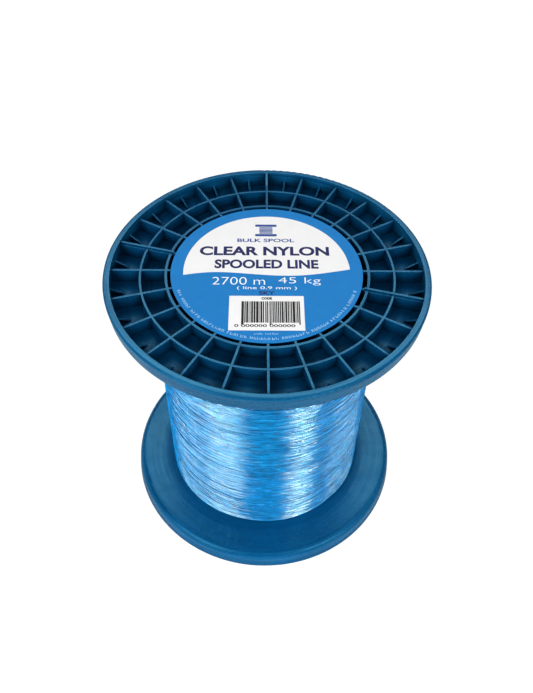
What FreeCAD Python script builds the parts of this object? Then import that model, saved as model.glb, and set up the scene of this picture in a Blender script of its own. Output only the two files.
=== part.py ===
import FreeCAD, Part
import Sketcher
import os

# Bulk fishing-line spool: two ribbed flanges on a barrel tube, the wound line
# with its taped end, and a round label.
# Frame: +Z is the spool axis and points from the lower flange to the upper
# flange.  The origin is on the axis, in the plane that the lower flange's rim
# rests on.  -Y is the side the label reads from.  Millimetres and degrees.

Vector = FreeCAD.Vector
doc = FreeCAD.newDocument("line_spool")

# ------------------------------------------------------------------ sizes
SIZES = [
    # whole spool
    ("overall_height", 204.0),
    ("flange_radius", 100.0),
    ("flange_depth", 13.6),          # line side to rim land
    # shared by the sketches
    ("near_zero", 0.0001),           # stands in for zero in a driven distance
    ("overlap", 0.5),                # how far added material sinks into what it joins
    # flange moulding
    ("web_thickness", 2.6),
    ("rim_draft", 1.5),              # the rim narrows by this towards the line side
    ("rim_lip", 1.9),                # rim land stands this much above the ribs
    ("rim_inner_radius", 95.8),
    ("rim_corner", 1.5),             # outer top edge of the rim
    ("line_side_corner", 5.0),       # rounded edge on the line side
    ("rib_count", 24),
    ("rib_tip", 1.3),                # rib thickness at its top
    ("rib_root", 1.9),               # rib thickness at its foot (draft)
    ("rib_inset", 1.5),              # rib starts this far outside the bore
    ("rib_rim_overlap", 0.6),        # rib runs this far into the rim
    ("ring_outer_radius", 77.6),     # ring radii are to the middle of the wall
    ("ring_outer_wall", 1.25),
    ("ring_inner_radius", 62.0),
    ("ring_inner_wall", 1.5),
    ("ring_core_radius", 36.0),
    ("ring_core_wall", 1.8),
    ("gusset_wall", 1.2),
    ("gusset_toe_radius", 87.0),
    ("gusset_drop", 4.0),            # gusset top below the rib tops at the rim
    ("locator_height", 1.0),         # two opposite ribs stand proud of the rest
    ("locator_start_radius", 60.2),
    ("locator_rim_overlap", 0.4),
    ("locator_shoulder", 1.65),      # shoulder width from the rib's middle plane
    ("shoulder_drop", 0.4),          # shoulder top below the rib tops
    ("ramp_start_radius", 84.0),
    ("ramp_sink", 0.4),              # ramp's underside below the rib tops
    ("ramp_end_drop", 0.05),         # ramp's high end below the rim land
    ("bore_radius", 18.0),
    ("hub_radius", 21.0),
    ("hub_depth", 9.1),              # hub reaches this far into the barrel
    ("spigot_radius", 32.92),
    ("spigot_wall", 2.6),
    ("spigot_depth", 12.0),
    # barrel
    ("barrel_radius", 36.0),
    ("barrel_wall", 3.0),
    # line
    ("line_diameter", 0.9),
    ("pack_radius", 71.5),
    ("pack_inner_radius", 36.2),
    ("pack_side_gap", 0.1),
    ("pack_edge", 1.2),
    ("end_height", 120.0),           # height of the line's outer end
    ("end_path_radius", 71.9),
    ("tail_path_radius", 72.0),
    ("end_start_angle", 74.0),
    ("end_sweep", 34.2),
    ("tail_start_angle", 109.0),
    ("tail_sweep", 40.0),
    # tape over the line's outer end; bulge widths are half widths
    ("tape_width", 19.0),            # shared by both tapes
    ("tape_thickness", 0.14),
    ("tape_gap", 0.08),              # tape's inner face off the pack
    ("bulge_gap", 1.05),             # the same at the crest over the line
    ("bulge_outer_foot", 1.3),
    ("bulge_outer_crest", 0.55),
    ("bulge_inner_foot", 1.2),
    ("bulge_inner_crest", 0.5),
    ("tail_tape_start_angle", 75.0),
    ("tail_tape_sweep", 33.0),
    # tape on the barrel
    ("start_tape_radius", 36.02),
    ("start_tape_thickness", 0.13),
    ("start_tape_height", 2.0),      # above the lower flange's line side
    ("start_tape_sweep", 60.0),
    ("cutter_margin", 1.0),          # cutter stands out of each end of the tape
    # label
    ("label_radius", 58.7),
    ("label_thickness", 0.2),
    ("label_shift", 0.4),            # the label is stuck on slightly off centre
]


class Size:
    """A number together with the expression that gives it from the sheet.
    Sums of sizes are sizes: float() gives the number, str() the expression."""

    def __init__(self, value, text):
        self.value = value
        self.text = text

    def __float__(self):
        return float(self.value)

    def __str__(self):
        return self.text

    def __add__(self, other):
        return Size(self.value + float(other), f"({self} + {other})")

    def __sub__(self, other):
        return Size(self.value - float(other), f"({self} - {other})")

    def __mul__(self, other):
        return Size(self.value * float(other), f"({self} * {other})")

    def __truediv__(self, other):
        return Size(self.value / float(other), f"({self} / {other})")

    def __neg__(self):
        return Size(-self.value, f"(-{self})")


class Dims:
    """One Size for each alias, so Dims.rim_lip means the same here and in an expression."""


sheet = doc.addObject("Spreadsheet::Sheet", "Dims")
for row, (alias, value) in enumerate(SIZES, start=1):
    sheet.set(f"A{row}", alias)
    sheet.set(f"B{row}", str(value))
    sheet.setAlias(f"B{row}", alias)
    setattr(Dims, alias, Size(float(value), f"Dims.{alias}"))
doc.recompute()

# Heights in the flange's own frame
rib_top = Dims.flange_depth - Dims.rim_lip
rib_foot = Dims.web_thickness - Dims.overlap
# Distance between the flanges' line sides
barrel_length = Dims.overall_height - Dims.flange_depth * 2
line_radius = Dims.line_diameter / 2


# ---------------------------------------------------------------- helpers
def bind(obj, sizes):
    """Drive each property path of obj by its size."""
    for path, size in sizes.items():
        obj.setExpression(path, str(size))


def origin_feature(body, role):
    return [f for f in body.Origin.OriginFeatures if f.Role == role][0]


def new_body(name):
    body = doc.addObject("PartDesign::Body", name)
    body.Label = name
    return body


def new_sketch(body, name, role, lift=None, turn=None):
    """A sketch on one of the body's origin planes.  lift is its distance along
    the plane's normal, turn its angle about Z (XY and XZ planes only)."""
    sketch = body.newObject("Sketcher::SketchObject", name + "_sketch")
    sketch.AttachmentSupport = [(origin_feature(body, role), "")]
    sketch.MapMode = "FlatFace"
    if turn is not None:
        axis = Vector(0, 0, 1) if role == "XY_Plane" else Vector(0, 1, 0)
        sketch.AttachmentOffset = FreeCAD.Placement(
            Vector(0, 0, 0), FreeCAD.Rotation(axis, float(turn)))
    if lift is not None:
        bind(sketch, {"AttachmentOffset.Base.z": lift})
    return sketch


def constrain(sketch, size, kind, *places):
    """Add a constraint of the given kind, driven by size."""
    index = sketch.addConstraint(Sketcher.Constraint(kind, *places, float(size)))
    bind(sketch, {f"Constraints[{index}]": size})


def circle(sketch, radius):
    """A circle round the sketch origin."""
    outline = Part.Circle(Vector(0, 0, 0), Vector(0, 0, 1), float(radius))
    edge = sketch.addGeometry(outline, False)
    sketch.addConstraint(Sketcher.Constraint("Coincident", edge, 3, -1, 1))
    constrain(sketch, radius, "Radius", edge)


def polygon(sketch, corners):
    """A closed outline through (x, y) corners, each held by its two distances
    from the sketch origin."""
    points = [Vector(float(x), float(y), 0) for x, y in corners]
    following = points[1:] + points[:1]
    edges = [sketch.addGeometry(Part.LineSegment(a, b), False)
             for a, b in zip(points, following)]
    for edge, after in zip(edges, edges[1:] + edges[:1]):
        sketch.addConstraint(Sketcher.Constraint("Coincident", edge, 2, after, 1))
    for edge, (x, y) in zip(edges, corners):
        constrain(sketch, x, "DistanceX", -1, 1, edge, 1)
        constrain(sketch, y, "DistanceY", -1, 1, edge, 1)


def pad(body, sketch, name, length, symmetric=False):
    feature = body.newObject("PartDesign::Pad", name)
    feature.Profile = (sketch, [""])
    bind(feature, {"Length": length})
    if symmetric:
        # Releases without SideType have Midplane instead
        if "SideType" in feature.PropertiesList:
            feature.SideType = "Symmetric"
        else:
            feature.Midplane = True
    body.Tip = feature
    doc.recompute()
    return feature


def revolve(body, sketch, name, sweep=360):
    """Turn the sketch about its vertical axis, which lies along Z."""
    feature = body.newObject("PartDesign::Revolution", name)
    feature.Profile = (sketch, [""])
    feature.ReferenceAxis = (sketch, ["V_Axis"])
    bind(feature, {"Angle": sweep})
    body.Tip = feature
    doc.recompute()
    return feature


def repeat_round_axis(body, original, name, count):
    feature = body.newObject("PartDesign::PolarPattern", name)
    feature.Originals = [original]
    feature.Axis = (origin_feature(body, "Z_Axis"), [""])
    feature.Angle = 360.0
    bind(feature, {"Occurrences": count})
    body.Tip = feature
    doc.recompute()


def circular_edges(shape, radius, height, tolerance=1e-4):
    """Names of the circular edges of this radius at this height."""
    return [f"Edge{number}" for number, edge in enumerate(shape.Edges, start=1)
            if isinstance(edge.Curve, Part.Circle)
            and abs(edge.Curve.Radius - float(radius)) < tolerance
            and abs(edge.Curve.Center.z - float(height)) < tolerance]


def fillet_circle(body, base, name, edge_radius, edge_height, fillet_radius):
    """Round the circular edge of base found by its radius and height."""
    feature = body.newObject("PartDesign::Fillet", name)
    feature.Base = (base, circular_edges(base.Shape, edge_radius, edge_height))
    bind(feature, {"Radius": fillet_radius})
    body.Tip = feature
    doc.recompute()
    return feature


def tube(body, sketch_name, pad_name, outer_radius, inner_radius, length, lift=None):
    """A round wall about the axis, starting at height lift."""
    sketch = new_sketch(body, sketch_name, "XY_Plane", lift=lift)
    circle(sketch, outer_radius)
    circle(sketch, inner_radius)
    pad(body, sketch, pad_name, length)


# ---------------------------------------------------------------- flanges
def add_web_and_rim(body, name):
    """Web and rim in one turn; the rim's outer wall has draft."""
    draft_radius = Dims.flange_radius - Dims.rim_draft
    sketch = new_sketch(body, name + "_web_rim", "XZ_Plane")
    polygon(sketch, [
        (Dims.bore_radius, Dims.near_zero),
        (draft_radius, Dims.near_zero),
        (Dims.flange_radius, Dims.flange_depth),
        (Dims.rim_inner_radius, Dims.flange_depth),
        (Dims.rim_inner_radius, Dims.web_thickness),
        (Dims.bore_radius, Dims.web_thickness),
    ])
    rim = revolve(body, sketch, name + "_web_rim")
    rounded = fillet_circle(body, rim, name + "_rim_corner",
                            Dims.flange_radius, Dims.flange_depth, Dims.rim_corner)
    fillet_circle(body, rounded, name + "_line_side_corner",
                  draft_radius, Dims.near_zero, Dims.line_side_corner)


def add_round_walls(body, name):
    """Hub, spigot and the three ring ribs."""
    # The hub holds the bore, through the web and into the barrel
    tube(body, name + "_hub", name + "_hub", Dims.hub_radius, Dims.bore_radius,
         Dims.hub_depth + rib_top, lift=-Dims.hub_depth)
    # The barrel tube is pushed over the spigot
    tube(body, name + "_spigot", name + "_spigot",
         Dims.spigot_radius, Dims.spigot_radius - Dims.spigot_wall,
         Dims.spigot_depth + Dims.overlap, lift=-Dims.spigot_depth)
    for ring, radius, wall in (
        ("core", Dims.ring_core_radius, Dims.ring_core_wall),
        ("inner", Dims.ring_inner_radius, Dims.ring_inner_wall),
        ("outer", Dims.ring_outer_radius, Dims.ring_outer_wall),
    ):
        ring_name = f"{name}_ring_{ring}"
        tube(body, ring_name, ring_name, radius + wall / 2, radius - wall / 2,
             rib_top - rib_foot, lift=rib_foot)


def add_ribs(body, name):
    """Radial ribs with draft, from the hub to the rim."""
    start_radius = Dims.bore_radius + Dims.rib_inset
    sketch = new_sketch(body, name + "_rib", "YZ_Plane", lift=start_radius)
    polygon(sketch, [
        (-Dims.rib_root / 2, rib_foot),
        (Dims.rib_root / 2, rib_foot),
        (Dims.rib_tip / 2, rib_top),
        (-Dims.rib_tip / 2, rib_top),
    ])
    rib = pad(body, sketch, name + "_rib",
              Dims.rim_inner_radius + Dims.rib_rim_overlap - start_radius)
    repeat_round_axis(body, rib, name + "_ribs", Dims.rib_count)


def add_gussets(body, name):
    """Small gussets at the rim, midway between the ribs."""
    end_radius = Dims.rim_inner_radius + Dims.overlap
    half_pitch = 180 / float(Dims.rib_count)
    sketch = new_sketch(body, name + "_gusset", "XZ_Plane", turn=half_pitch)
    polygon(sketch, [
        (Dims.gusset_toe_radius, Dims.web_thickness),
        (Dims.gusset_toe_radius, rib_foot),
        (end_radius, rib_foot),
        (end_radius, rib_top - Dims.gusset_drop),
    ])
    gusset = pad(body, sketch, name + "_gusset", Dims.gusset_wall, symmetric=True)
    repeat_round_axis(body, gusset, name + "_gussets", Dims.rib_count)


def add_opposite_bars(body, name, lift, sides, length):
    """Two bars on the diameter one rib back from X; sides are the y of their
    two long edges."""
    start = Dims.locator_start_radius
    end = Dims.rim_inner_radius + Dims.locator_rim_overlap
    low, high = sides
    rib_pitch = 360 / float(Dims.rib_count)
    sketch = new_sketch(body, name, "XY_Plane", lift=lift, turn=-rib_pitch)
    for near, far in ((start, end), (-start, -end)):
        polygon(sketch, [(near, low), (far, low), (far, high), (near, high)])
    pad(body, sketch, name, length)


def add_locators(body, name):
    """Two opposite ribs stand proud, with a shoulder along one side."""
    add_opposite_bars(body, name + "_shoulder", lift=rib_foot,
                      sides=(-Dims.locator_shoulder, Dims.near_zero),
                      length=rib_top - Dims.shoulder_drop - rib_foot)
    add_opposite_bars(body, name + "_locator", lift=rib_top - Dims.overlap,
                      sides=(-Dims.rib_tip / 2, Dims.rib_tip / 2),
                      length=Dims.locator_height + Dims.overlap)


def add_ramp(body, name):
    """The rib towards the flange's own +Y climbs almost to the rim land."""
    end_radius = Dims.rim_inner_radius + Dims.overlap
    sketch = new_sketch(body, name + "_ramp", "YZ_Plane")
    polygon(sketch, [
        (Dims.ramp_start_radius, rib_top - Dims.ramp_sink),
        (end_radius, rib_top - Dims.ramp_sink),
        (end_radius, Dims.flange_depth - Dims.ramp_end_drop),
        (Dims.ramp_start_radius, rib_top),
    ])
    pad(body, sketch, name + "_ramp", Dims.rib_tip, symmetric=True)


def make_flange(name):
    """One flange moulding in its own frame: z = 0 is the flat side that faces
    the line, +z is the ribbed outer side."""
    body = new_body(name)
    add_web_and_rim(body, name)
    add_round_walls(body, name)
    add_ribs(body, name)
    add_gussets(body, name)
    add_locators(body, name)
    add_ramp(body, name)
    return body


def make_upper_flange():
    flange = make_flange("upper_flange")
    bind(flange, {"Placement.Base.z": Dims.overall_height - Dims.flange_depth})
    return flange


def make_lower_flange():
    """The same moulding turned over about X."""
    flange = make_flange("lower_flange")
    flange.Placement.Rotation = FreeCAD.Rotation(Vector(1, 0, 0), 180)
    bind(flange, {"Placement.Base.z": Dims.flange_depth})
    return flange


# ----------------------------------------------------------------- barrel
def make_barrel():
    body = new_body("barrel_tube")
    tube(body, "barrel", "barrel_wall", Dims.barrel_radius,
         Dims.barrel_radius - Dims.barrel_wall, barrel_length)
    bind(body, {"Placement.Base.z": Dims.flange_depth})
    return body


# ------------------------------------------------------------------- line
def make_wound_line():
    """The pack of turns as one ring, with the last bit of line, which runs
    under the tape, standing on it.  z = 0 is the lower flange's line side."""
    body = new_body("wound_line")
    bottom = Dims.pack_side_gap
    top = barrel_length - Dims.pack_side_gap
    edge_radius = Dims.pack_radius - Dims.pack_edge / 2
    sketch = new_sketch(body, "pack", "XZ_Plane")
    polygon(sketch, [
        (Dims.pack_inner_radius, bottom),
        (edge_radius, bottom),
        (Dims.pack_radius, bottom + Dims.pack_edge),
        (Dims.pack_radius, top - Dims.pack_edge),
        (edge_radius, top),
        (Dims.pack_inner_radius, top),
    ])
    revolve(body, sketch, "pack_turns")

    path_height = Dims.end_height - Dims.flange_depth
    centre = Vector(float(Dims.end_path_radius), float(path_height), 0)
    sketch = new_sketch(body, "pack_end", "XZ_Plane", turn=Dims.end_start_angle)
    section = sketch.addGeometry(
        Part.Circle(centre, Vector(0, 0, 1), float(line_radius)), False)
    constrain(sketch, Dims.end_path_radius, "DistanceX", -1, 1, section, 3)
    constrain(sketch, path_height, "DistanceY", -1, 1, section, 3)
    constrain(sketch, line_radius, "Radius", section)
    revolve(body, sketch, "pack_end", Dims.end_sweep)
    bind(body, {"Placement.Base.z": Dims.flange_depth})
    return body


def make_line_tail():
    """Free outer end of the line, from where it leaves the tape: an arc of
    line with a round start."""
    arc = doc.addObject("Part::Torus", "tail_arc")
    arc.Angle1 = -180
    arc.Angle2 = 180
    bind(arc, {"Radius1": Dims.tail_path_radius, "Radius2": line_radius,
               "Angle3": Dims.tail_sweep})
    ball = doc.addObject("Part::Sphere", "tail_start")
    bind(ball, {"Radius": line_radius, "Placement.Base.x": Dims.tail_path_radius})
    tail = doc.addObject("Part::MultiFuse", "line_tail")
    tail.Shapes = [arc, ball]
    tail.Label = "line_tail"
    tail.Placement.Rotation = FreeCAD.Rotation(Vector(0, 0, 1), float(Dims.tail_start_angle))
    bind(tail, {"Placement.Base.z": Dims.end_height})
    return tail


# ------------------------------------------------------------------ tapes
def make_tail_tape():
    """Strip over the line's outer end, bulging where it covers the line."""
    body = new_body("tail_tape")
    half_width = Dims.tape_width / 2
    inner = Dims.pack_radius + Dims.tape_gap
    outer = inner + Dims.tape_thickness
    crest_inner = Dims.pack_radius + Dims.bulge_gap
    crest_outer = crest_inner + Dims.tape_thickness
    # Radius, height from the line's middle
    section = [
        (inner, -half_width),
        (outer, -half_width),
        (outer, -Dims.bulge_outer_foot),
        (crest_outer, -Dims.bulge_outer_crest),
        (crest_outer, Dims.bulge_outer_crest),
        (outer, Dims.bulge_outer_foot),
        (outer, half_width),
        (inner, half_width),
        (inner, Dims.bulge_inner_foot),
        (crest_inner, Dims.bulge_inner_crest),
        (crest_inner, -Dims.bulge_inner_crest),
        (inner, -Dims.bulge_inner_foot),
    ]
    sketch = new_sketch(body, "tape", "XZ_Plane", turn=Dims.tail_tape_start_angle)
    polygon(sketch, [(radius, Dims.end_height + height) for radius, height in section])
    revolve(body, sketch, "tape_strip", Dims.tail_tape_sweep)
    return body


def make_start_tape():
    """Strip that holds the inner end of the line to the barrel."""
    sector = doc.addObject("Part::Cylinder", "start_tape_outer")
    bind(sector, {"Radius": Dims.start_tape_radius + Dims.start_tape_thickness,
                  "Height": Dims.tape_width, "Angle": Dims.start_tape_sweep})
    cutter = doc.addObject("Part::Cylinder", "start_tape_inner")
    bind(cutter, {"Radius": Dims.start_tape_radius,
                  "Height": Dims.tape_width + Dims.cutter_margin * 2,
                  "Placement.Base.z": -Dims.cutter_margin})
    tape = doc.addObject("Part::Cut", "start_tape")
    tape.Base = sector
    tape.Tool = cutter
    tape.Label = "start_tape"
    bind(tape, {"Placement.Base.z": Dims.flange_depth + Dims.start_tape_height})
    return tape


# ------------------------------------------------------------------ label
def make_label():
    """Disc lying on the upper flange's rib tops."""
    label = doc.addObject("Part::Cylinder", "upper_label")
    label.Label = "upper_label"
    bind(label, {"Radius": Dims.label_radius, "Height": Dims.label_thickness,
                 "Placement.Base.x": -Dims.label_shift,
                 "Placement.Base.y": -Dims.label_shift,
                 "Placement.Base.z": Dims.overall_height - Dims.rim_lip})
    return label


# -------------------------------------------------------- build and write
pieces = [
    make_upper_flange(),
    make_lower_flange(),
    make_barrel(),
    make_wound_line(),
    make_line_tail(),
    make_tail_tape(),
    make_start_tape(),
    make_label(),
]
doc.recompute()

for obj in doc.Objects:
    faults = [state for state in obj.State if state in ("Invalid", "Error")]
    if faults:
        raise RuntimeError(f"{obj.Name} is {faults}")

os.makedirs("parts", exist_ok=True)
for old in os.listdir("parts"):
    if old.endswith(".step"):
        os.remove(os.path.join("parts", old))
for piece in pieces:
    shape = piece.Shape
    if shape.isNull() or not shape.isValid():
        raise RuntimeError(f"{piece.Label} has no valid shape")
    if len(shape.Solids) != 1:
        raise RuntimeError(f"{piece.Label} has {len(shape.Solids)} solids")
    shape.exportStep(f"parts/{piece.Label}.step")
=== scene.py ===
"""A bulk spool of clear blue nylon line, standing on its lower flange.

The spool's axis is Z and the floor lies just under z = 0. The label is on top, its text
reads along +X, and the camera looks from the front (-Y) and above.
Lengths are metres, except where a name or comment says millimetres.
"""
import bpy, bmesh, math, random
import numpy as np
from mathutils import Matrix, Vector


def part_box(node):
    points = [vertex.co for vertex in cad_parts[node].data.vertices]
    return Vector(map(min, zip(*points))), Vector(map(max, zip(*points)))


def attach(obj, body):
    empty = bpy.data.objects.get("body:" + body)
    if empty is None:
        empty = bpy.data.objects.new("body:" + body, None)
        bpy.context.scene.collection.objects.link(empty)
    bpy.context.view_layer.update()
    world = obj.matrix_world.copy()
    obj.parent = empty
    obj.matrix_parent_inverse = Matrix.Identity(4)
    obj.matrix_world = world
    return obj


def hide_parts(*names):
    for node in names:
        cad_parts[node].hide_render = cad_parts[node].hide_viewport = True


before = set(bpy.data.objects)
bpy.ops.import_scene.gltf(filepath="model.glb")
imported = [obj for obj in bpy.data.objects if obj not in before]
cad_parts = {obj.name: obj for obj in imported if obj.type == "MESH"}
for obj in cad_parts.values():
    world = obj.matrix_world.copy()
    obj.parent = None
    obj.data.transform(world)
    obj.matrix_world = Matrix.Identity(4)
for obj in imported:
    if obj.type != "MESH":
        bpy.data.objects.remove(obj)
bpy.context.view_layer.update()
scene = bpy.context.scene
MM = 0.001

# ------------------------------------------------------------- frame sizes
pack_lo, pack_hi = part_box("wound_line")
label_lo, label_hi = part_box("upper_label")
FLANGE_RADIUS = 0.1
PACK_RADIUS = -pack_lo.x
PACK_RADIUS_MM = PACK_RADIUS * 1000
LABEL_TOP = label_hi.z
RIB_TOP = label_lo.z
LABEL_X_MM = (label_lo.x + label_hi.x) / 2 * 1000
LABEL_Y_MM = (label_lo.y + label_hi.y) / 2 * 1000


# ------------------------------------------------------------ shader nodes
def srgb(*channels):
    """Linear colour from 0-255 display values."""
    def linear(value):
        value /= 255.0
        return value / 12.92 if value <= 0.04045 else ((value + 0.055) / 1.055) ** 2.4
    return tuple(linear(value) for value in channels)


class Nodes:
    """Short calls that add nodes to a tree. Inputs are sockets to link or plain values."""

    def __init__(self, tree):
        self.tree = tree

    def feed(self, socket, value):
        if isinstance(value, bpy.types.NodeSocket):
            self.tree.links.new(value, socket)
        elif socket.type == "RGBA":
            socket.default_value = (*value, 1.0)
        else:
            socket.default_value = value

    def node(self, kind, inputs=None, **settings):
        """Add a node; inputs maps input names or indices to values."""
        made = self.tree.nodes.new(kind)
        for key, value in settings.items():
            setattr(made, key, value)
        for key, value in (inputs or {}).items():
            self.feed(made.inputs[key], value)
        return made

    def first(self, kind, inputs=None, **settings):
        """Add a node and return its first output."""
        return self.node(kind, inputs, **settings).outputs[0]

    def object_place(self):
        return self.node("ShaderNodeTexCoord").outputs["Object"]

    def noise(self, place, scale, detail=3.0, rough=0.5, stretch=(1, 1, 1)):
        mapped = self.first("ShaderNodeMapping", {"Scale": stretch, "Vector": place})
        return self.first("ShaderNodeTexNoise", {"Scale": scale, "Detail": detail,
                                                 "Roughness": rough, "Vector": mapped})

    def remap(self, value, span, to):
        """Map the range span to the range to, clamped."""
        return self.first("ShaderNodeMapRange",
                          {0: value, 1: span[0], 2: span[1], 3: to[0], 4: to[1]})

    def ramp(self, value, stops):
        """Colour ramp from (position, colour) stops."""
        made = self.node("ShaderNodeValToRGB", {0: value})
        elements = made.color_ramp.elements
        while len(elements) < len(stops):
            elements.new(0.5)
        for element, (position, colour) in zip(elements, stops):
            element.position = position
            element.color = (*colour, 1.0)
        return made.outputs[0]

    def mix(self, factor, colour_0, colour_1):
        return self.node("ShaderNodeMix", {0: factor, 6: colour_0, 7: colour_1},
                         data_type="RGBA", blend_type="MIX").outputs[2]

    def mix_shader(self, factor, shader_0, shader_1):
        return self.first("ShaderNodeMixShader", {0: factor, 1: shader_0, 2: shader_1})

    def math(self, operation, *values):
        return self.first("ShaderNodeMath", dict(enumerate(values)), operation=operation)

    def vector(self, operation, *values, **named):
        return self.first("ShaderNodeVectorMath", {**dict(enumerate(values)), **named},
                          operation=operation)

    def bump(self, height, strength, distance, normal=None):
        inputs = {"Strength": strength, "Distance": distance, "Height": height}
        if normal is not None:
            inputs["Normal"] = normal
        return self.first("ShaderNodeBump", inputs)


class Material(Nodes):
    """A new material with a Principled shader joined to its output."""

    def __init__(self, name):
        self.material = bpy.data.materials.new(name)
        self.material.use_nodes = True
        super().__init__(self.material.node_tree)
        self.tree.nodes.clear()
        self.out = self.node("ShaderNodeOutputMaterial")
        self.bsdf = self.node("ShaderNodeBsdfPrincipled")
        self.surface(self.bsdf.outputs[0])

    def surface(self, shader):
        self.feed(self.out.inputs[0], shader)

    def shade(self, inputs):
        """Fill inputs of the Principled shader."""
        for key, value in inputs.items():
            self.feed(self.bsdf.inputs[key], value)


# --------------------------------------------------------------- materials
def turning_marks(g, place):
    """Fine mould marks round the axis; returns them and the radius."""
    x, y, z = g.node("ShaderNodeSeparateXYZ", {0: place}).outputs
    x_squared = g.math("MULTIPLY", x, x)
    y_squared = g.math("MULTIPLY", y, y)
    radius = g.math("SQRT", g.math("ADD", x_squared, y_squared))
    angle = g.math("ARCTAN2", y, x)
    # a small share of the angle draws the marks out round the axis
    drawn_out = g.first("ShaderNodeCombineXYZ",
                        {0: radius, 1: z, 2: g.math("MULTIPLY", angle, 0.0016)})
    return g.noise(drawn_out, scale=850.0, detail=4.0, rough=0.7), radius


def moulded_plastic(name, dark, light, rough, scuff=True, recess=0.18):
    """Blue moulded styrene: flow and turning marks, a satin skin, a painted highlight on
    the edges, handling scratches and painted shade in the hollows. A higher recess keeps
    that painted shade lighter."""
    g = Material(name)
    place = g.object_place()
    flow = g.noise(place, scale=38.0, detail=4.0, rough=0.55)
    fine = g.noise(place, scale=2600.0, detail=2.0, rough=0.6)
    colour = g.ramp(flow, [(0.30, dark), (0.72, light)])

    # turning marks, strongest on the rim
    turned, radius = turning_marks(g, place)
    on_rim = g.remap(radius, span=(0.0945, 0.0958), to=(0.45, 1.0))
    tint = g.remap(turned, span=(0.36, 0.66), to=(0.0, 0.34))
    colour = g.mix(g.math("MULTIPLY", tint, on_rim), colour, srgb(36, 128, 172))

    # short scratches in two directions
    along_x = g.noise(place, scale=60.0, rough=0.6, stretch=(1.0, 22.0, 8.0))
    along_y = g.noise(place, scale=60.0, rough=0.6, stretch=(20.0, 1.0, 8.0))
    scratch = g.math("MAXIMUM", g.remap(along_x, span=(0.67, 0.72), to=(0.0, 1.0)),
                     g.remap(along_y, span=(0.68, 0.73), to=(0.0, 1.0)))
    if scuff:
        patches = g.noise(place, scale=150.0, detail=5.0, rough=0.65)
        wear = g.remap(patches, span=(0.62, 0.78), to=(0.0, 0.07))
        colour = g.mix(wear, colour, srgb(40, 120, 160))
        scratch_tint = g.math("MULTIPLY", scratch, 0.07)
        colour = g.mix(scratch_tint, colour, srgb(110, 165, 195))

    # painted shade: recesses are darkened in the base colour, walls more than level faces,
    # and their sheen is weakened
    openness = g.node("ShaderNodeAmbientOcclusion", {"Distance": 0.012},
                      samples=6).outputs["AO"]
    normal = g.node("ShaderNodeNewGeometry").outputs["Normal"]
    normal_z = g.node("ShaderNodeSeparateXYZ", {0: normal}).outputs[2]
    level = g.math("ABSOLUTE", normal_z)
    walls = g.remap(openness, span=(0.34, 0.96), to=(recess * 0.7, 1.0))
    floors = g.remap(openness, span=(0.26, 0.82), to=(recess * 1.6, 1.0))
    lit = g.math("ADD", g.math("MULTIPLY", floors, level),
                 g.math("MULTIPLY", walls, g.math("SUBTRACT", 1.0, level)))
    colour = g.mix(lit, srgb(0, 8, 22), colour)
    gleam = g.remap(openness, span=(0.76, 0.98), to=(0.02, 0.5))
    gleam = g.math("MULTIPLY", gleam, g.remap(turned, span=(0.34, 0.66), to=(0.66, 1.22)))

    # painted highlight on the edges: where the rounded normal leaves the true one
    rounded_normal = g.first("ShaderNodeBevel", {"Radius": 0.00035}, samples=8)
    agreement = g.node("ShaderNodeVectorMath", {0: rounded_normal, 1: normal},
                       operation="DOT_PRODUCT").outputs["Value"]
    edge = g.remap(agreement, span=(0.86, 0.99), to=(0.42, 0.0))
    edge = g.math("MULTIPLY", edge, g.remap(openness, span=(0.62, 0.86), to=(0.0, 1.0)))
    colour = g.mix(edge, colour, srgb(96, 176, 204))

    skin = g.remap(g.noise(place, scale=120.0, detail=4.0, rough=0.6),
                   span=(0.3, 0.7), to=rough)
    relief = g.bump(flow, strength=0.05, distance=0.0006, normal=rounded_normal)
    relief = g.bump(turned, strength=0.30, distance=0.00006, normal=relief)
    relief = g.bump(fine, strength=0.05, distance=0.00002, normal=relief)
    g.shade({
        "Specular IOR Level": gleam,
        "Base Color": colour,
        "Roughness": g.math("ADD", skin, g.math("MULTIPLY", scratch, 0.04)),
        "Normal": relief,
        "IOR": 1.52,
        "Specular Tint": (0.17, 0.70, 0.90),
    })
    return g.material


def line_normal(g, place, outward):
    """Surface normal of the line, eased outward and leaning a little to one side or the
    other, so the light breaks up in streaks."""
    normal = g.node("ShaderNodeNewGeometry").outputs["Normal"]
    eased = g.node("ShaderNodeMix", {0: 0.12, 4: normal, 5: outward},
                   data_type="VECTOR").outputs[1]
    sideways = g.vector("CROSS_PRODUCT", (0.0, 0.0, 1.0), outward)
    lean = g.noise(place, scale=75.0, rough=0.6, stretch=(1.0, 1.0, 16.0))
    shift = g.vector("SCALE", sideways,
                     Scale=g.remap(lean, span=(0.25, 0.75), to=(-0.07, 0.07)))
    leaning = g.vector("NORMALIZE", g.vector("ADD", eased, shift))
    ripple = g.noise(place, scale=250.0, detail=2.0, rough=0.6, stretch=(1, 1, 6))
    return g.bump(ripple, strength=0.20, distance=0.00008, normal=leaning)


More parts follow.
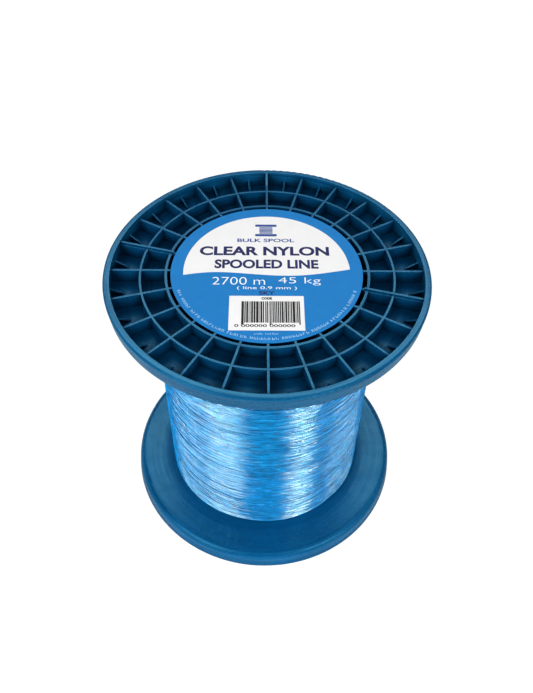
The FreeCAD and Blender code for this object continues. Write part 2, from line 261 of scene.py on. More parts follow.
def nylon(name, deep, body, glow, pale, rough, see, clear=1.0):
    """Clear blue nylon line, its blue varied along streaks whose light end paints short
    highlights.
    see: share of light spread inside the pack; clear: how little it shades."""
    g = Material(name)
    place = g.object_place()
    streak = g.noise(place, scale=130.0, detail=4.0, rough=0.65, stretch=(1.0, 1.0, 9.0))
    patch = g.noise(place, scale=16.0, stretch=(1.0, 1.0, 2.0))
    # the deep to body range is the line's own varied blue; the glow and pale stops paint
    # short highlights along the turns
    colour = g.ramp(streak, [(0.34, deep), (0.50, body), (0.64, glow), (0.72, pale)])
    colour = g.mix(g.remap(patch, span=(0.35, 0.7), to=(0.0, 0.35)), colour, body)
    skin = g.noise(place, scale=200.0, stretch=(1, 1, 3))
    # some turns catch the light; those that miss it send back blue from inside
    shine = g.noise(place, scale=120.0, rough=0.65, stretch=(1.0, 1.0, 10.0))
    shine_tint = g.ramp(shine, [(0.38, (0.40, 0.86, 1.0)), (0.62, (0.94, 0.99, 1.0))])
    outward = g.vector("NORMALIZE", g.vector("MULTIPLY", place, (1.0, 1.0, 0.0)))
    g.shade({
        "Base Color": colour,
        "Roughness": g.remap(skin, span=(0.3, 0.7), to=(rough, rough + 0.08)),
        "IOR": 1.9,
        # the shine spreads over a turn's width, not along it
        "Anisotropic": 0.85,
        "Tangent": g.first("ShaderNodeCombineXYZ", {2: 1.0}),
        "Specular IOR Level": g.remap(shine, span=(0.34, 0.66), to=(0.26, 0.42)),
        "Coat Weight": g.remap(shine, span=(0.40, 0.68), to=(0.0, 0.05)),
        "Specular Tint": shine_tint,
        "Coat Roughness": 0.12,
        "Normal": line_normal(g, place, outward),
    })

    # inner glow: light spread inside the pack, even over a turn's width
    inward = g.vector("SCALE", outward, Scale=-1.0)
    near_side = g.first("ShaderNodeBsdfDiffuse", {"Color": colour, "Normal": outward})
    far_side = g.first("ShaderNodeBsdfTranslucent", {"Color": colour, "Normal": inward})
    through = g.first("ShaderNodeAddShader", {0: near_side, 1: far_side})
    seen = g.mix_shader(see, g.bsdf.outputs[0], through)

    # clear line hardly shades the turns beneath it
    unshaded = g.first("ShaderNodeBsdfTransparent", {"Color": (0.88, 0.97, 1.0)})
    shadow_ray = g.node("ShaderNodeLightPath").outputs["Is Shadow Ray"]
    g.surface(g.mix_shader(g.math("MULTIPLY", shadow_ray, clear), seen, unshaded))
    return g.material


def printed(name, colour, vary=0.05, rough=0.42, tint=(1.0, 1.0, 1.0)):
    """Printed coated paper: fibre tooth, faint mottling, satin varnish."""
    g = Material(name)
    place = g.object_place()
    tooth = g.noise(place, scale=1800.0, rough=0.6)
    mottling = g.noise(place, scale=130.0, detail=4.0, rough=0.6)
    dark = tuple(c * (1 - vary) for c in colour)
    light = tuple(min(1.0, c * (1 + vary)) for c in colour)
    g.shade({
        "Base Color": g.ramp(mottling, [(0.3, dark), (0.7, light)]),
        "Roughness": g.remap(tooth, span=(0.3, 0.7), to=(rough, rough + 0.14)),
        "Normal": g.bump(tooth, strength=0.06, distance=0.00002),
        "Specular IOR Level": 0.22,
        "Specular Tint": tint,
    })
    return g.material


def tape_film(name):
    """Thin clear tape, slightly rippled."""
    g = Material(name)
    place = g.object_place()
    cloud = g.noise(place, scale=90.0, detail=4.0, rough=0.6)
    skin = g.noise(place, scale=240.0, rough=0.6)
    g.shade({
        "Base Color": g.ramp(cloud, [(0.35, srgb(150, 196, 222)),
                                     (0.7, srgb(196, 224, 238))]),
        "Roughness": g.remap(skin, span=(0.3, 0.7), to=(0.12, 0.3)),
        "Normal": g.bump(g.noise(place, scale=160.0), strength=0.25, distance=0.0002),
        "Alpha": 0.42,
        "IOR": 1.48,
    })
    return g.material


UPPER_PLASTIC = moulded_plastic("blue_styrene", dark=srgb(0, 56, 97),
                                light=srgb(0, 65, 112), rough=(0.22, 0.34))
# painted light: the lower flange gets a slightly lighter copy of the same styrene, with
# less painted shade in its hollows
LOWER_PLASTIC = moulded_plastic("blue_styrene_lower", dark=srgb(0, 58, 100),
                                light=srgb(0, 67, 115), rough=(0.22, 0.34), recess=0.55)
TUBE_PLASTIC = moulded_plastic("blue_styrene_tube", dark=srgb(0, 58, 96),
                               light=srgb(0, 68, 110), rough=(0.26, 0.36), scuff=False)
LINE = nylon("blue_nylon_line", deep=srgb(0, 92, 146), body=srgb(0, 118, 177),
             glow=srgb(4, 150, 208), pale=srgb(84, 184, 228), rough=0.24, see=0.78)
INNER_LINE = nylon("blue_nylon_depth", deep=srgb(0, 102, 155), body=srgb(0, 117, 171),
                   glow=srgb(0, 130, 186), pale=srgb(0, 138, 194),
                   rough=0.35, see=0.0, clear=0.4)
LABEL_BLUE = printed("label_blue", srgb(0, 111, 182), tint=(0.5, 0.9, 1.0))
LABEL_WHITE = printed("label_white", srgb(231, 231, 231), vary=0.02)
INK_NAVY = printed("ink_navy", srgb(10, 18, 78), vary=0.08)
INK_BLUE = printed("ink_blue", srgb(24, 66, 136), vary=0.08)
INK_WHITE = printed("ink_white", srgb(240, 244, 248), vary=0.02)
INK_PALE = printed("ink_pale", srgb(150, 194, 228), vary=0.05)
INK_BLACK = printed("ink_black", srgb(6, 6, 9), vary=0.10)
TAPE = tape_film("clear_tape_film")

for node_name, material in (
        ("upper_flange", UPPER_PLASTIC), ("lower_flange", LOWER_PLASTIC),
        ("barrel_tube", TUBE_PLASTIC), ("upper_label", LABEL_BLUE),
        ("tail_tape", TAPE), ("start_tape", TAPE),
        ("line_tail", LINE), ("wound_line", LINE)):
    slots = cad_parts[node_name].data.materials
    slots.clear()
    slots.append(material)


# ----------------------------------------------------------- mesh builders
def add_object(name, data):
    made = bpy.data.objects.new(name, data)
    scene.collection.objects.link(made)
    return made


def quad_mesh_object(name, verts, quads, material):
    """Object from a vertex array and an array of quads."""
    mesh = bpy.data.meshes.new(name)
    count, sides = quads.shape
    mesh.vertices.add(len(verts))
    mesh.vertices.foreach_set("co", verts.astype(np.float32).ravel())
    mesh.loops.add(count * sides)
    mesh.loops.foreach_set("vertex_index", quads.astype(np.int32).ravel())
    mesh.polygons.add(count)
    mesh.polygons.foreach_set("loop_start", (np.arange(count) * sides).astype(np.int32))
    mesh.update(calc_edges=True)
    mesh.materials.append(material)
    return add_object(name, mesh)


def tube(name, angles, radii, heights, sides):
    """Round line through stations given as angle, radius and height, with closed ends."""
    stations = len(angles)
    around = np.arange(sides) / sides * 2 * math.pi
    line_radius = LINE_DIAMETER_MM / 2 * MM
    r = radii[:, None] + line_radius * np.cos(around)[None, :]
    z = heights[:, None] + line_radius * np.sin(around)[None, :]
    x = r * np.cos(angles)[:, None]
    y = r * np.sin(angles)[:, None]
    verts = np.stack([x, y, z], -1).reshape(-1, 3)
    i = np.arange(stations - 1)[:, None] * sides
    k = np.arange(sides)[None, :]
    k_next = (k + 1) % sides
    quads = np.stack([i + k, i + k_next, i + sides + k_next, i + sides + k], -1)
    made = quad_mesh_object(name, verts, quads.reshape(-1, 4)[:, ::-1], LINE)
    mesh = made.data
    mesh.polygons.foreach_set("use_smooth", np.ones(len(mesh.polygons), bool))
    bm = bmesh.new()
    bm.from_mesh(mesh)
    bm.verts.ensure_lookup_table()
    bm.faces.new([bm.verts[j] for j in range(sides)])
    bm.faces.new([bm.verts[(stations - 1) * sides + j] for j in reversed(range(sides))])
    bm.to_mesh(mesh)
    bm.free()
    return made


def ring_solid(name, profile, segments, material):
    """Closed body of revolution from a closed (radius, height) profile."""
    points = np.array(profile)
    count = len(points)
    angles = np.arange(segments) / segments * 2 * math.pi
    verts = np.stack([np.outer(np.cos(angles), points[:, 0]),
                      np.outer(np.sin(angles), points[:, 0]),
                      np.tile(points[:, 1], (segments, 1))], -1).reshape(-1, 3)
    i = np.arange(segments)[:, None]
    j = np.arange(count)[None, :]
    i_next, j_next = (i + 1) % segments, (j + 1) % count
    quads = np.stack([i * count + j, i_next * count + j,
                      i_next * count + j_next, i * count + j_next], -1).reshape(-1, 4)
    return quad_mesh_object(name, verts, quads, material)


# ---------------------------------------------------------- the wound line
# All winding sizes are millimetres.
LINE_DIAMETER_MM = 0.9
LINE_RADIUS_MM = LINE_DIAMETER_MM / 2
STEPS_PER_TURN = 108
MAP_CELL = 0.1              # height of one cell of the surface map
BASE_DEPTH = 3.0            # first turns lie this far inside the pack's radius
FLANGE_GAP = 0.5            # from the pack's ends to the outermost turns' middles
MAX_DROP = 0.13             # most the line sinks in one step, being under tension
GUIDE_PASSES = ((1.0, True), (1.05, False), (1.35, True))       # pitch, upward
# waves round the pack that neighbouring turns share: (waves per turn, amplitude)
SHARED_WAVES = ((1, 0.20), (2, 0.12), (3, 0.08), (5, 0.05))
TAIL_HEIGHT_MM = 120        # height of the line's free end


def wind():
    """Lay turns one after another on a map of the surface, each resting on the turns
    already there. Returns heights and radii of all steps."""
    rng = np.random.RandomState(11)
    z_low = pack_lo.z * 1000 + FLANGE_GAP
    z_high = pack_hi.z * 1000 - FLANGE_GAP
    span = z_high - z_low
    per = STEPS_PER_TURN

    def smooth_noise(count, step):
        knots = rng.uniform(-1, 1, int(count / step) + 4)
        t = np.arange(count) / step
        i = t.astype(int)
        f = t - i
        f = f * f * (3 - 2 * f)
        return knots[i] * (1 - f) + knots[i + 1] * f

    # the guide goes up, down and up again, more open each time
    passes = []
    for pitch, upward in GUIDE_PASSES:
        count = int(span / pitch) * per
        travel = np.arange(count) / count * span
        passes.append(z_low + (travel if upward else span - travel))
    heights = np.concatenate(passes)
    total = len(heights)
    angles = np.arange(total) % per / per * 2 * math.pi

    # neighbours wander together, slowly changing over six or seven turns
    wander = np.zeros(total)
    for waves, amplitude in SHARED_WAVES:
        cos_part = amplitude * smooth_noise(total, per * 6.0)
        sin_part = amplitude * smooth_noise(total, per * 7.0)
        wander += cos_part * np.cos(waves * angles) + sin_part * np.sin(waves * angles)
    # each turn strays on its own as well, so turns cross at small angles
    wander += 0.46 * smooth_noise(total, per / 3.1) + 0.30 * smooth_noise(total, per / 6.3)
    wander += 0.10 * smooth_noise(total, per / 14.0)
    heights = heights + wander

    # at the flanges the line turns back instead of piling up
    heights = np.where(heights < z_low, 2 * z_low - heights, heights)
    heights = np.where(heights > z_high, 2 * z_high - heights, heights)
    heights = np.clip(heights, z_low, z_high)

    # surface map: the highest line centre in each cell of angle and height
    base = PACK_RADIUS_MM - BASE_DEPTH
    cells = int((z_high - z_low) / MAP_CELL) + 3
    top = np.full((per, cells), -1e9)
    window = int(LINE_DIAMETER_MM / MAP_CELL)
    offsets = np.arange(-window, window + 1)
    reach = np.sqrt(np.maximum(
        0.0, LINE_DIAMETER_MM * LINE_DIAMETER_MM - (offsets * MAP_CELL) ** 2))
    radii = np.empty(total)
    previous = base
    for i in range(total):
        column = i % per
        j = int(round((heights[i] - z_low) / MAP_CELL))
        start, stop = max(0, j - window), min(cells, j + window + 1)
        resting = top[column, start:stop] + reach[start - j + window: stop - j + window]
        radius = max(base, resting.max())
        radius = max(radius, previous - MAX_DROP)
        radii[i] = radius
        top[column, j] = max(top[column, j], radius)
        previous = radius

    kernel = np.array([1, 2, 3, 2, 1], float)
    kernel /= kernel.sum()
    return heights, np.convolve(np.pad(radii, 2, mode="edge"), kernel, mode="valid")


def soften(padded):
    """Smooth over three neighbours along the first axis."""
    return (padded[:-2] + 2 * padded[1:-1] + padded[2:]) / 4


def level_pack(angles, heights, radii):
    """Bring the outermost turns to the pack's radius all over."""
    columns, rows = 24, 120         # cells round the pack and along it
    low, high = heights.min(), heights.max()
    across = (np.arange(len(heights)) % STEPS_PER_TURN) / STEPS_PER_TURN * columns
    along = (heights - low) / (high - low + 1e-6) * rows
    cell = (across.astype(int) % columns) * rows + np.minimum(along.astype(int), rows - 1)
    outer = np.full(columns * rows, -1e9)
    np.maximum.at(outer, cell, radii)
    outer = outer.reshape(columns, rows)
    outer = np.where(outer < -1e8, np.median(outer[outer > 0]), outer)
    outer = soften(np.pad(outer, ((1, 1), (0, 0)), mode="wrap"))
    outer = soften(np.pad(outer, ((0, 0), (1, 1)), mode="edge").T).T

    # outer surface at each step, blended between cell middles
    across, along = across - 0.5, np.clip(along - 0.5, 0, rows - 1.001)
    i, j = np.floor(across).astype(int), np.floor(along).astype(int)
    u, v = across - i, along - j
    i, i_next = i % columns, (i + 1) % columns
    surface = ((outer[i, j] * (1 - v) + outer[i, j + 1] * v) * (1 - u)
               + (outer[i_next, j] * (1 - v) + outer[i_next, j + 1] * v) * u)
    middle = PACK_RADIUS_MM - LINE_RADIUS_MM
    radii = radii - surface + middle + 0.1
    radii = np.minimum(radii, middle + 0.35)
    radii = np.maximum(radii, PACK_RADIUS_MM - 3.2)

    # nothing stands proud where the tape and the free end lie
    degrees = np.degrees(angles) % 360
    near_tail = (degrees > 66) & (degrees < 160) & (np.abs(heights - TAIL_HEIGHT_MM) < 14)
    radii[near_tail] = np.minimum(radii[near_tail], PACK_RADIUS_MM - 0.46)
    return radii


turn_heights, turn_radii = wind()
turn_angles = np.arange(len(turn_heights)) * (2 * math.pi / STEPS_PER_TURN)
turn_radii = level_pack(turn_angles, turn_heights, turn_radii)
turns = tube("line_turns", turn_angles, turn_radii * MM, turn_heights * MM, sides=6)

# plain ring behind the visible turns
INNER_RADIUS = 0.0362
ring_radius = max((turn_radii.min() - 0.1) * MM, (PACK_RADIUS_MM - 1.9) * MM)
inner_layers = ring_solid(
    "line_inner_layers",
    [(INNER_RADIUS, pack_lo.z), (ring_radius, pack_lo.z),
     (ring_radius, pack_hi.z), (INNER_RADIUS, pack_hi.z)], 256, INNER_LINE)
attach(turns, "spool")
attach(inner_layers, "spool")
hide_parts("wound_line")

# the line's last bit under the tape
END_STATIONS = 40
line_end = tube("line_end_under_tape", np.radians(np.linspace(74.0, 108.2, END_STATIONS)),
                np.full(END_STATIONS, PACK_RADIUS + 0.0004),
                np.full(END_STATIONS, TAIL_HEIGHT_MM * MM), sides=12)
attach(line_end, "spool")

# ------------------------------------------------------------------- label
# Plan places and sizes on the label are millimetres; heights are metres.
INK = 0.00003               # thickness of each printed layer
OVERLAP = 0.000005          # how far a layer sinks into the one below
PAPER_Z = LABEL_TOP - OVERLAP
FIELD_Z = PAPER_Z + INK     # top of the white areas
ON_WHITE_Z = FIELD_Z - OVERLAP

FIELD_RADIUS = 51.0         # upper edge of the white field
FIELD_ARC_STEPS = 96
WAVE_STEPS = 6
# lower edge of the white field, left to right: (x, y)
FIELD_WAVE = [
    (-51.37700, -4.47427), (-43.19988, -2.93142), (-33.94276, -1.92857),
    (-24.68564, -2.00571), (-15.42853, -2.77713), (-6.17141, -3.70285),
    (3.08571, -4.47427), (12.34282, -4.78284), (21.59994, -4.31999),
    (30.85705, -3.08571), (40.11417, -1.23428), (50.14271, 0.92571),
]


def put(made):
    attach(made, "spool")


def field_outline():
    """An arc from right to left above, then a smooth wave back through FIELD_WAVE."""
    left, right = (math.atan2(y - LABEL_Y_MM, x - LABEL_X_MM)
                   for x, y in (FIELD_WAVE[0], FIELD_WAVE[-1]))
    sweep = (left - right) % (2 * math.pi)
    points = []
    for i in range(FIELD_ARC_STEPS + 1):
        angle = right + sweep * i / FIELD_ARC_STEPS
        points.append((LABEL_X_MM + FIELD_RADIUS * math.cos(angle),
                       LABEL_Y_MM + FIELD_RADIUS * math.sin(angle)))
    knots = [Vector(p) for p in (points[-1], *FIELD_WAVE[1:-1], points[0])]
    knots = [knots[0] * 2 - knots[1]] + knots + [knots[-1] * 2 - knots[-2]]
    wave = []
    for i in range(1, len(knots) - 2):
        p0, p1, p2, p3 = knots[i - 1:i + 3]
        for k in range(WAVE_STEPS):
            t = k / WAVE_STEPS
            point = 0.5 * (2 * p1 + (p2 - p0) * t + (2 * p0 - 5 * p1 + 4 * p2 - p3) * t * t
                           + (3 * p1 - p0 - 3 * p2 + p3) * t * t * t)
            wave.append((point.x, point.y))
    return points + wave[1:]


def white_field():
    """Thin solid whose top and bottom are fans about a point inside the outline."""
    outline = field_outline()
    count = len(outline)
    centre = (LABEL_X_MM, LABEL_Y_MM + 14.0)
    bottom, top = PAPER_Z, PAPER_Z + INK
    verts = [(x * MM, y * MM, z) for z in (bottom, top) for x, y in outline]
    verts += [(centre[0] * MM, centre[1] * MM, z) for z in (bottom, top)]
    faces = []
    for i in range(count):
        j = (i + 1) % count
        faces += [(2 * count, j, i), (2 * count + 1, count + i, count + j),
                  (i, j, count + j, count + i)]
    mesh = bpy.data.meshes.new("label_white_field")
    mesh.from_pydata(verts, [], faces)
    mesh.update()
    mesh.materials.append(LABEL_WHITE)
    put(add_object("label_white_field", mesh))


def flat_solids(name, outlines, bottom, top, material):
    """One object of thin closed solids, each over an outline of (x, y) in millimetres."""
    whole = bmesh.new()
    for outline in outlines:
        bm = bmesh.new()
        face = bm.faces.new([bm.verts.new((x * MM, y * MM, bottom)) for x, y in outline])
        bmesh.ops.triangulate(bm, faces=[face])
        raised = bmesh.ops.extrude_face_region(bm, geom=bm.faces[:])
        for item in raised["geom"]:
            if isinstance(item, bmesh.types.BMVert):
                item.co.z = top
        bmesh.ops.recalc_face_normals(bm, faces=bm.faces[:])
        part = bpy.data.meshes.new(name + "_part")
        bm.to_mesh(part)
        bm.free()
        whole.from_mesh(part)
        bpy.data.meshes.remove(part)
    mesh = bpy.data.meshes.new(name)
    whole.to_mesh(mesh)
    whole.free()
    mesh.materials.append(material)
    put(add_object(name, mesh))


def lettering(name, text, x_span, y_span, material, bottom, weight):
    """Flat text stretched to fill a plan rectangle. The weight swells the strokes of the
    type at its set size, before stretching."""
    curve = bpy.data.curves.new(name, "FONT")
    curve.body = text
    curve.size = 0.01
    curve.extrude = INK / 2
    curve.offset = weight
    curve.resolution_u = 4
    source = add_object(name + "_tmp", curve)
    bpy.context.view_layer.update()
    depsgraph = bpy.context.evaluated_depsgraph_get()
    mesh = bpy.data.meshes.new_from_object(source.evaluated_get(depsgraph))
    bpy.data.objects.remove(source)
    mesh.name = name
    co = np.zeros(len(mesh.vertices) * 3, np.float32)
    mesh.vertices.foreach_get("co", co)
    co = co.reshape(-1, 3)
    low, high = co.min(0), co.max(0)
    for axis, (start, stop) in enumerate((x_span, y_span)):
        share = (co[:, axis] - low[axis]) / (high[axis] - low[axis])
        co[:, axis] = share * (stop - start) * MM + start * MM
    co[:, 2] = co[:, 2] - low[2] + bottom
    mesh.vertices.foreach_set("co", co.ravel())
    mesh.materials.clear()
    mesh.materials.append(material)
    bm = bmesh.new()
    bm.from_mesh(mesh)
    bmesh.ops.remove_doubles(bm, verts=bm.verts[:], dist=1e-7)
    bmesh.ops.recalc_face_normals(bm, faces=bm.faces[:])
    bm.to_mesh(mesh)
    bm.free()
    put(add_object(name, mesh))


def box(x0, y0, x1, y1):
    return [(x0, y0), (x1, y0), (x1, y1), (x0, y1)]


def rounded_box(x0, y0, x1, y1, radius, steps=5):
    """Counter-clockwise outline from the upper left corner."""
    points = []
    for x, y, start in ((x0 + radius, y1 - radius, 90), (x0 + radius, y0 + radius, 180),
                        (x1 - radius, y0 + radius, 270), (x1 - radius, y1 - radius, 360)):
        for i in range(steps + 1):
            angle = math.radians(start + 90 * i / steps)
            points.append((x + radius * math.cos(angle), y + radius * math.sin(angle)))
    return points


white_field()

# name, text, (left, right), (low, high), ink, underside height, weight
LABEL_TEXTS = [
    ("label_title_1", "CLEAR NYLON", (-42.27416, 38.72560), (13.11425, 21.44565),
     INK_NAVY, ON_WHITE_Z, 0.00036),
    ("label_title_2", "SPOOLED LINE", (-32.55419, 31.47420), (1.38857, 9.41140),
     INK_NAVY, ON_WHITE_Z, 0.00036),
    ("label_length", "2700 m", (-33.32562, -1.54285), (-12.65139, -6.17141),
     INK_WHITE, PAPER_Z, -0.00012),
    ("label_strength", "45 kg", (6.47998, 32.09134), (-12.95996, -6.17141),
     INK_WHITE, PAPER_Z, -0.00012),
    ("label_diameter", "( line 0.9 mm )", (-18.35995, 17.58852), (-17.12567, -14.03996),
     INK_WHITE, PAPER_Z, 0.0),
    ("label_kind", "BULK SPOOL", (-18.97709, 17.12567), (25.61136, 28.85135),
     INK_BLUE, ON_WHITE_Z, 0.00025),
    ("label_shade", "SKY", (-5.24570, 4.31999), (-21.13708, -18.05138),
     INK_NAVY, PAPER_Z, 0.0003),
]
for entry in LABEL_TEXTS:
    lettering(*entry)

# pictogram of a spool: two flanges and five windings between them
MARK_FLANGE_X = (-7.71426, 6.17141)
MARK_FLANGE_Y = ((40.42274, 42.58274), (31.16563, 33.32562))
MARK_FLANGE_CORNER = 0.77143
MARK_LINE_X = (-5.09141, 3.54856)
MARK_LINE_Y = (38.95703, 39.88274)      # top winding
MARK_LINE_PITCH = 1.29600
MARK_LINE_CORNER = 0.38571
mark = [rounded_box(MARK_FLANGE_X[0], low, MARK_FLANGE_X[1], high, MARK_FLANGE_CORNER)
        for low, high in MARK_FLANGE_Y]
for i in range(5):
    drop = MARK_LINE_PITCH * i
    mark.append(rounded_box(MARK_LINE_X[0], MARK_LINE_Y[0] - drop,
                            MARK_LINE_X[1], MARK_LINE_Y[1] - drop, MARK_LINE_CORNER))
flat_solids("label_mark", mark, ON_WHITE_Z, FIELD_Z + INK, INK_BLUE)

# barcode panel with bars that encode nothing
CODE_PANEL = box(-22.67994, -49.52557, 21.29137, -22.06279)
BAR_WIDTHS = [0.385713, 0.740569, 0.740569, 1.110854, 1.481139]
BAR_GAPS = [0.323999, 0.323999, 0.323999, 0.647998]
BARS_START, BARS_STOP = -15.428527, 18.205662       # left edges of the bars
BARS_RIGHT = 18.822803                              # bars are cut off here
BARS_TOP = -26.53707
LONG_BAR_BOTTOM, BAR_BOTTOM = -45.05130, -43.50845
LEFT_LONG_END = -14.502816                          # bars before this are long
MIDDLE_LONG = (0.925712, 2.159994)                  # as are bars between these
RIGHT_LONG_START = 17.279951                        # and bars after this
print_rng = random.Random(5)


def code_bars():
    bars = []
    x = BARS_START
    while x < BARS_STOP:
        width = print_rng.choice(BAR_WIDTHS)
        gap = print_rng.choice(BAR_GAPS)
        is_long = (x < LEFT_LONG_END or MIDDLE_LONG[0] < x < MIDDLE_LONG[1]
                   or x > RIGHT_LONG_START)
        bottom = LONG_BAR_BOTTOM if is_long else BAR_BOTTOM
        bars.append(box(x, bottom, min(x + width, BARS_RIGHT), BARS_TOP))
        x += width + gap
    return bars


flat_solids("label_code_panel", [CODE_PANEL], PAPER_Z, PAPER_Z + INK, LABEL_WHITE)
flat_solids("label_code_bars", code_bars(), ON_WHITE_Z, FIELD_Z + INK, INK_BLACK)
lettering("label_code_digits", "0 000000 000000", (-19.28566, 15.73710),
          (-46.90272, -44.74273), INK_BLACK, ON_WHITE_Z, weight=0.0002)
lettering("label_code_head", "CODE", (-3.70285, 2.46856),
          (-25.14850, -23.14279), INK_BLACK, ON_WHITE_Z, weight=0.0006)

# small print: one short row and one along the label's edge
ROW_START = (-7.71426, -52.61128)
ROW_LENGTH = 14.6
ARC_BASE_RADIUS = 56.3      # foot of the strokes
ARC_RADIUS = 54.6           # where the row's length is measured
ARC_START, ARC_SWEEP = math.radians(198.0), math.radians(144.0)


def strokes(place, length, height, weight):
    """Words of plain strokes that spell nothing, set along a row by place(along, up)."""
    outlines = []
    along = 0.0
    while along < length:
        for _ in range(print_rng.randint(3, 9)):
            width = print_rng.uniform(0.62, 0.86) * height
            if along + width > length:
                break
            letter = [box(0.0, 0.0, weight, height)]
            if print_rng.random() < 0.7:
                tall = height * print_rng.choice([1.0, 0.6])
                letter.append(box(width - weight, 0.0, width, tall))
            if print_rng.random() < 0.8:
                y = print_rng.choice([0.0, 0.45, 1.0]) * (height - weight)
                letter.append(box(weight * 0.8, y, width - weight * 0.5, y + weight))
            outlines += [[place(along + x, y) for x, y in bar] for bar in letter]
            along += width + 0.42 * height
        along += 0.75 * height
    return outlines


def on_arc(along, up):
    angle = ARC_START + along / ARC_RADIUS
    radius = ARC_BASE_RADIUS - up
    return LABEL_X_MM + radius * math.cos(angle), LABEL_Y_MM + radius * math.sin(angle)


def on_row(along, up):
    return ROW_START[0] + along, ROW_START[1] + up


small_print = strokes(on_row, ROW_LENGTH, height=1.15, weight=0.24)
small_print += strokes(on_arc, ARC_RADIUS * ARC_SWEEP, height=1.75, weight=0.34)
flat_solids("label_small_print", small_print, PAPER_Z, PAPER_Z + INK, INK_PALE)


# ------------------------------------------------------------------- stage
def floor_material():
    g = Material("pale_floor")
    place = g.object_place()
    rays = g.node("ShaderNodeLightPath").outputs
    pale = g.ramp(g.noise(place, scale=3.0), [(0.3, (0.80,) * 3), (0.7, (0.83,) * 3)])
    # painted reflection colour: in reflections the floor turns blue-green, so the plastic
    # and line mirror less red
    mirrored = g.math("MULTIPLY", rays["Is Glossy Ray"], 1.0)
    g.shade({"Base Color": g.mix(mirrored, pale, (0.56, 0.80, 0.86)),
             "Roughness": 0.9, "Specular IOR Level": 0.1})
    # the camera sees it mostly as an even glow, and mirrors see it dimmed
    glow = g.first("ShaderNodeEmission", {1: 1.15})
    seen = g.mix_shader(g.math("MULTIPLY", rays["Is Camera Ray"], 0.80),
                        g.bsdf.outputs[0], glow)
    black = g.first("ShaderNodeBsdfTransparent", {"Color": (0, 0, 0)})
    seen = g.mix_shader(g.math("MULTIPLY", rays["Is Glossy Ray"], 0.34), seen, black)
    # from below the floor is not there, and light from underneath passes it
    backfacing = g.node("ShaderNodeNewGeometry").outputs["Backfacing"]
    gone = g.first("ShaderNodeBsdfTransparent")
    absent = g.math("MAXIMUM", backfacing, rays["Is Shadow Ray"])
    g.surface(g.mix_shader(absent, seen, gone))
    return g.material


def build_floor():
    bm = bmesh.new()
    bmesh.ops.create_grid(bm, x_segments=2, y_segments=2, size=6.0)
    mesh = bpy.data.meshes.new("floor")
    bm.to_mesh(mesh)
    bm.free()
    floor = add_object("floor", mesh)
    floor.location.z = -0.0002
    mesh.materials.append(floor_material())


build_floor()

# ------------------------------------------------------------------ lights
CENTRE = (0, 0, 0.11)
ORIGIN = (0, 0, 0)
PALE_GREEN = (0.92, 1.0, 0.84)


def around(azimuth, elevation, distance=1.5):
    """Place about CENTRE, in degrees: azimuth 0 is the front (-Y), positive toward +X."""
    a, e = math.radians(azimuth), math.radians(elevation)
    return (distance * math.sin(a) * math.cos(e), -distance * math.cos(a) * math.cos(e),
            CENTRE[2] + distance * math.sin(e))


def area(name, place, size, power, target=CENTRE, colour=(1, 1, 1),
         diffuse=True, glossy=True, receivers=None):
    """Area light aimed at target; receivers limits it to one collection."""
    light = bpy.data.lights.new(name, "AREA")
    light.shape = "RECTANGLE"
    light.size, light.size_y = size
    light.energy = power
    light.color = colour
    made = add_object(name, light)
    made.location = place
    aim = Vector(target) - Vector(place)
    made.rotation_euler = aim.to_track_quat("-Z", "Y").to_euler()
    made.visible_diffuse = diffuse
    made.visible_glossy = glossy
    if receivers:
        made.light_linking.receiver_collection = receivers


def light_group(name, objects):
    group = bpy.data.collections.new(name)
    for member in objects:
        group.objects.link(member)
    return group


# soft fill
area("fill_left", around(-42, 34), size=(0.9, 0.8), power=20.5, glossy=False)
area("fill_right", around(38, 34), size=(0.7, 0.8), power=15, glossy=False)
area("back_light", around(180, 60, 1.7), size=(1.6, 0.5), power=8.5, glossy=False)
# reflections only
area("softbox_back", around(180, 54, 1.7), size=(2.4, 0.66), power=21,
     target=(0, 0, 0.2), diffuse=False)
area("sheen_left", around(-47, 30), size=(0.8, 0.6), power=5, diffuse=False)
area("sheen_right", around(44, 30), size=(0.6, 0.6), power=4, diffuse=False)

# lights that the line alone picks up
line_only = light_group("line_only",
                        (turns, inner_layers, line_end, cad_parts["line_tail"]))
# name, azimuth, width, power
for name, azimuth, width, power in (
        ("strip_left", -39, 0.78, 322), ("strip_far_left", -78, 0.86, 175),
        ("strip_right", 35, 0.46, 276), ("strip_far_right", 84, 0.90, 150)):
    area(name, around(azimuth, 32), size=(width, 0.8), power=power,
         colour=PALE_GREEN, diffuse=False, receivers=line_only)
for name, azimuth, power in (("side_left", -84, 9.5), ("side_right", 84, 8)):
    area(name, around(azimuth, 28), size=(0.7, 0.8), power=power,
         glossy=False, receivers=line_only)

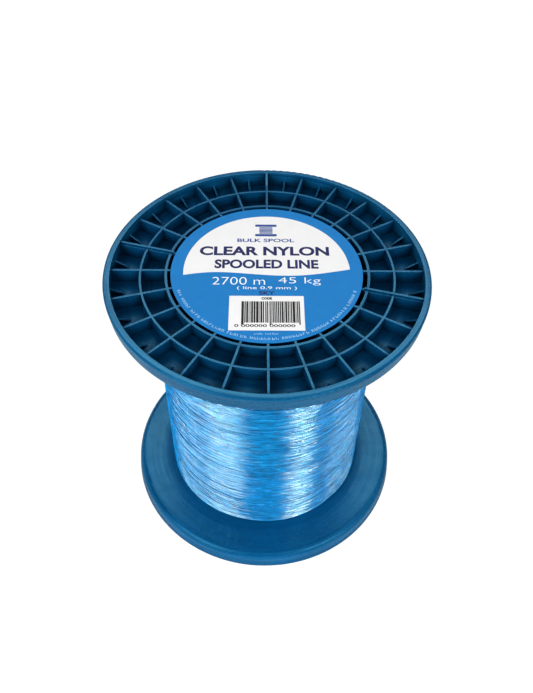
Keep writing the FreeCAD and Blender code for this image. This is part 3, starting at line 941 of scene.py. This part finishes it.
# light from below the floor for the lower flange and the tube
under_only = light_group("under_only",
                         [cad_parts[n] for n in ("lower_flange", "barrel_tube")])
area("under_light", around(0, -30, 1.3), size=(1.0, 1.0), power=14, target=ORIGIN,
     glossy=False, receivers=under_only)


def build_world():
    """White to the camera, dim otherwise, and blue-green in reflections."""
    world = bpy.data.worlds.new("studio")
    scene.world = world
    world.use_nodes = True
    g = Nodes(world.node_tree)
    background = g.tree.nodes["Background"]
    rays = g.node("ShaderNodeLightPath").outputs
    mirrored = g.math("MULTIPLY", rays["Is Glossy Ray"], 1.0)
    g.feed(background.inputs[0], g.mix(mirrored, (1.0, 1.0, 1.0), (0.35, 0.92, 1.0)))
    g.feed(background.inputs[1],
           g.remap(rays["Is Camera Ray"], span=(0.0, 1.0), to=(0.08, 1.0)))


build_world()

# ------------------------------------------------------------------ camera
# angles in radians; the place is in flange radii, measured from the rib tops
CAMERA_PITCH, CAMERA_YAW, CAMERA_ROLL = 0.862395641, -0.00677409893, 0.0187252139
CAMERA_TURN = 0.0127667660      # of the whole view about the spool's axis
CAMERA_PLACE = (-0.0196411678, -3.32713256, 3.16736698)


def build_camera():
    data = bpy.data.cameras.new("camera")
    camera = add_object("camera", data)
    data.sensor_fit = "AUTO"
    data.sensor_width = 36.0
    data.lens = 38.781299
    data.clip_start, data.clip_end = 0.01, 50.0
    level = math.cos(CAMERA_PITCH)
    back = Vector((math.sin(CAMERA_YAW) * level, -math.cos(CAMERA_YAW) * level,
                   math.sin(CAMERA_PITCH)))
    right = Vector((0, 0, 1)).cross(back).normalized()
    up = back.cross(right)
    roll_cos, roll_sin = math.cos(CAMERA_ROLL), math.sin(CAMERA_ROLL)
    pose = Matrix((roll_cos * right + roll_sin * up,
                   -roll_sin * right + roll_cos * up, back)).transposed().to_4x4()
    pose.translation = Vector(CAMERA_PLACE) * FLANGE_RADIUS
    camera.matrix_world = (Matrix.Translation((0, 0, RIB_TOP))
                           @ Matrix.Rotation(-CAMERA_TURN, 4, "Z") @ pose)
    scene.camera = camera


build_camera()
scene.view_settings.view_transform = "Standard"
scene.view_settings.look = "None"
scene.view_settings.exposure = 0.0
